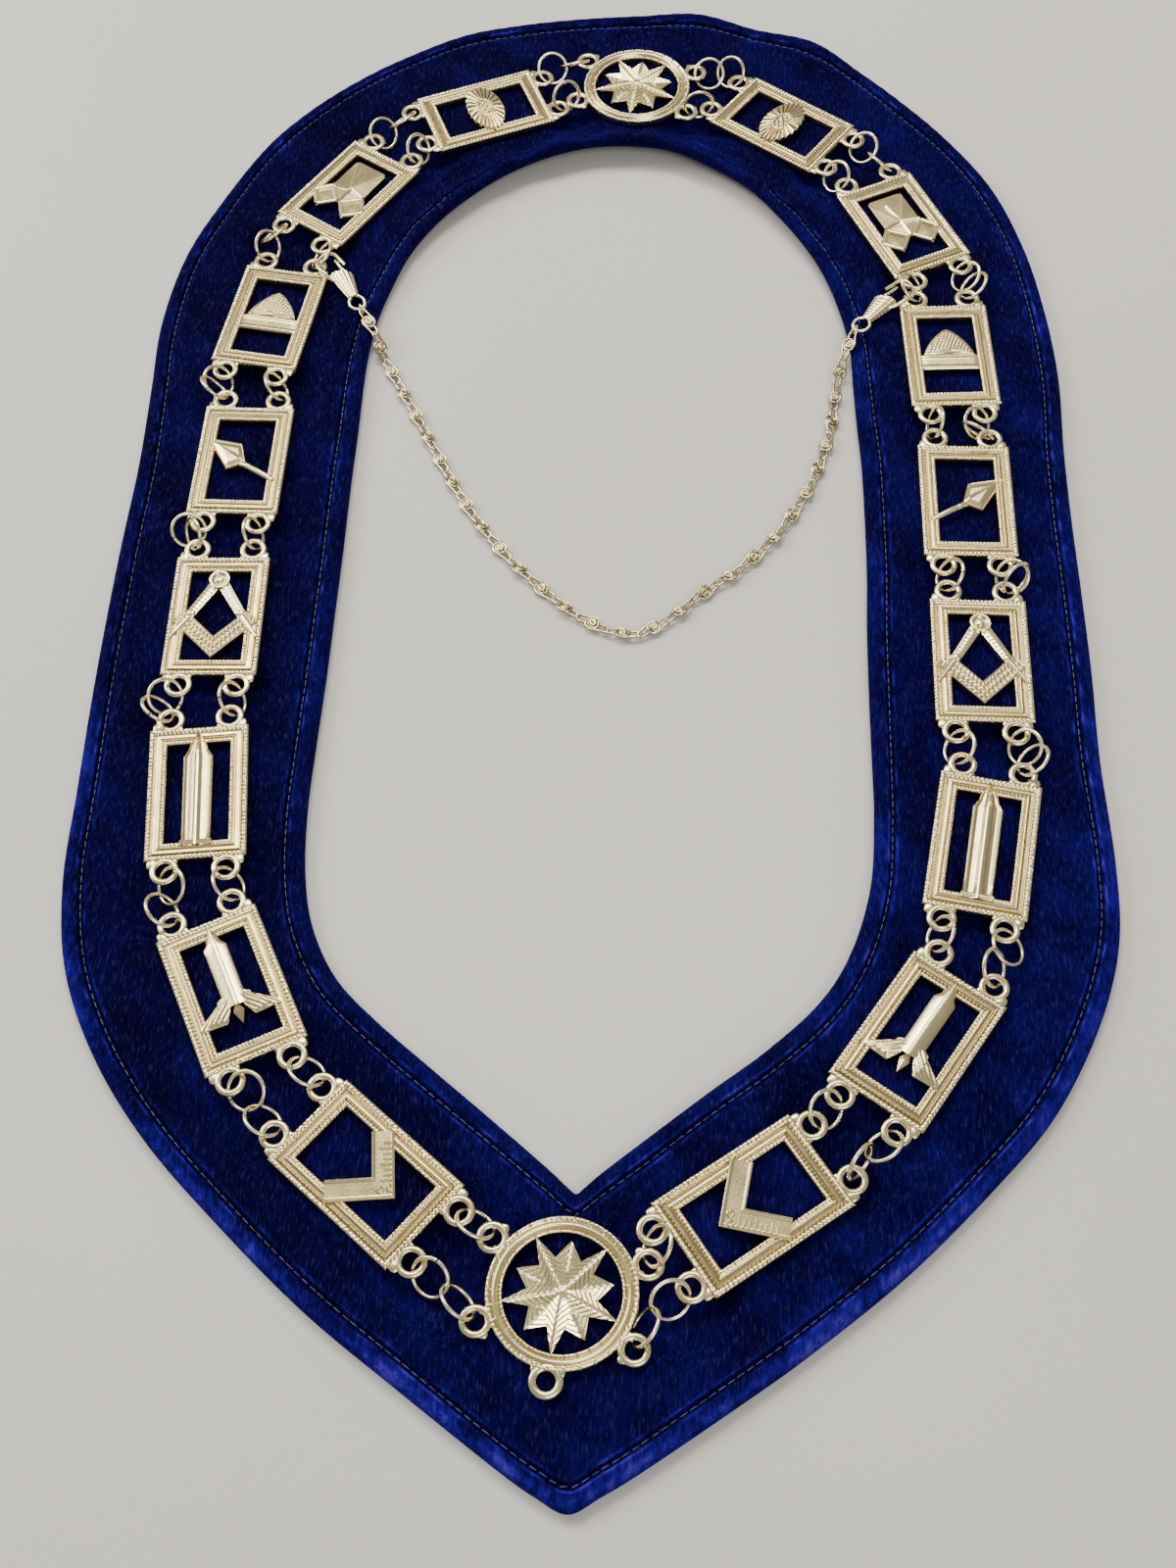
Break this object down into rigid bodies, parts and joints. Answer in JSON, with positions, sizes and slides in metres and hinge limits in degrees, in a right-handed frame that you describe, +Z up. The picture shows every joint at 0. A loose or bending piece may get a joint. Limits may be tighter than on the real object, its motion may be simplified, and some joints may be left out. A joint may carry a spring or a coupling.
{
  "type": "ceremonial chain collar",
  "caption": "Padded blue velvet collar laid flat, with cast silver-tone emblem links joined by jump rings, round star medallions at front and back, and a fine clip-on throat chain.",
  "frame": {"origin": "middle of the collar's outline, on the surface that it lies on", "axes": "+X to the wearer's left shoulder as the collar lies face up, +Y to the back of the neck, +Z up out of the surface"},
  "size_m": [0.2801, 0.4892, 0.0142],
  "materials": {
    "velvet": "royal-blue velvet pile, brighter on its rolled edges",
    "cast_silver": "cast silver-tone metal, warm and slightly worn",
    "bright_wire": "bright silver-tone wire"
  },
  "bodies": {
    "collar": {"velvet_collar": "velvet", "medallion_top": "cast_silver", "medallion_bottom": "cast_silver", "plate_left_1": "cast_silver", "plate_left_2": "cast_silver", "plate_left_3": "cast_silver", "plate_left_4": "cast_silver", "plate_left_5": "cast_silver", "plate_left_6": "cast_silver", "plate_left_7": "cast_silver", "plate_left_8": "cast_silver", "plate_right_1": "cast_silver", "plate_right_2": "cast_silver", "plate_right_3": "cast_silver", "plate_right_4": "cast_silver", "plate_right_5": "cast_silver", "plate_right_6": "cast_silver", "plate_right_7": "cast_silver", "plate_right_8": "cast_silver", "ring_inner_left_1": "bright_wire", "ring_inner_left_2": "bright_wire", "ring_inner_left_3": "bright_wire", "ring_inner_left_4": "bright_wire", "ring_inner_left_5": "bright_wire", "ring_inner_left_6": "bright_wire", "ring_inner_left_7": "bright_wire", "ring_inner_left_8": "bright_wire", "ring_inner_left_9": "bright_wire", "ring_inner_right_1": "bright_wire", "ring_inner_right_2": "bright_wire", "ring_inner_right_3": "bright_wire", "ring_inner_right_4": "bright_wire", "ring_inner_right_5": "bright_wire", "ring_inner_right_6": "bright_wire", "ring_inner_right_7": "bright_wire", "ring_inner_right_8": "bright_wire", "ring_inner_right_9": "bright_wire", "rings_outer_left_1": "bright_wire", "rings_outer_left_2": "bright_wire", "rings_outer_left_3": "bright_wire", "rings_outer_left_4": "bright_wire", "rings_outer_left_5": "bright_wire", "rings_outer_left_6": "bright_wire", "rings_outer_left_7": "bright_wire", "rings_outer_left_8": "bright_wire", "rings_outer_left_9": "bright_wire", "rings_outer_right_1": "bright_wire", "rings_outer_right_2": "bright_wire", "rings_outer_right_3": "bright_wire", "rings_outer_right_4": "bright_wire", "rings_outer_right_5": "bright_wire", "rings_outer_right_6": "bright_wire", "rings_outer_right_7": "bright_wire", "rings_outer_right_8": "bright_wire", "rings_outer_right_9": "bright_wire", "throat_chain": "bright_wire", "clasp_left": "bright_wire", "clasp_right": "bright_wire"},
    "gate_left": {"tongue_left": "bright_wire"},
    "gate_right": {"tongue_right": "bright_wire"}
  },
  "joints": [
    {"name": "gate_left_spring", "type": "hinge", "parent": "collar", "child": "gate_left", "pos_m": [-0.08439, 0.11697, 0.00775], "axis": [0, 0, 1], "range_deg": [0, 18], "stiffness_Nm_per_rad": 0.004, "springref_deg": -2.86},
    {"name": "gate_right_spring", "type": "hinge", "parent": "collar", "child": "gate_right", "pos_m": [0.0841, 0.11315, 0.00775], "axis": [0, 0, -1], "range_deg": [0, 18], "stiffness_Nm_per_rad": 0.004, "springref_deg": -2.86}
  ]
}
